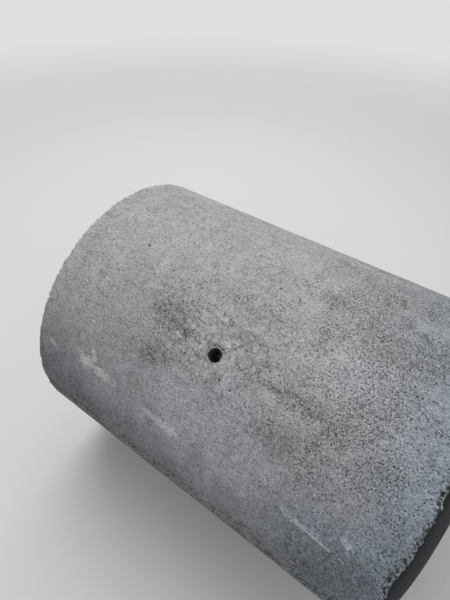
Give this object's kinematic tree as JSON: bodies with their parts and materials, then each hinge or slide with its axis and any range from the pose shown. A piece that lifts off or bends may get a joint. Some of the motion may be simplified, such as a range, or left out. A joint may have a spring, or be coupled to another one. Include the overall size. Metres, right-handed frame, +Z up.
{
  "type": "concrete culvert pipe",
  "caption": "Round precast concrete pipe lying on its side, with a tongue at one end, a groove at the other and a lifting hole through the wall near mid-length.",
  "frame": {"origin": "on the ground under the middle of the overall length, below the pipe's axis", "axes": "+X along the pipe from the groove end to the tongue end, +Z up; the lifting hole leans from the top towards -Y"},
  "size_m": [1.2, 0.9598, 0.96],
  "materials": {
    "concrete": "as cast, weathered, matt, with small air holes"
  },
  "bodies": {
    "root": {"pipe": "concrete"}
  },
  "joints": []
}
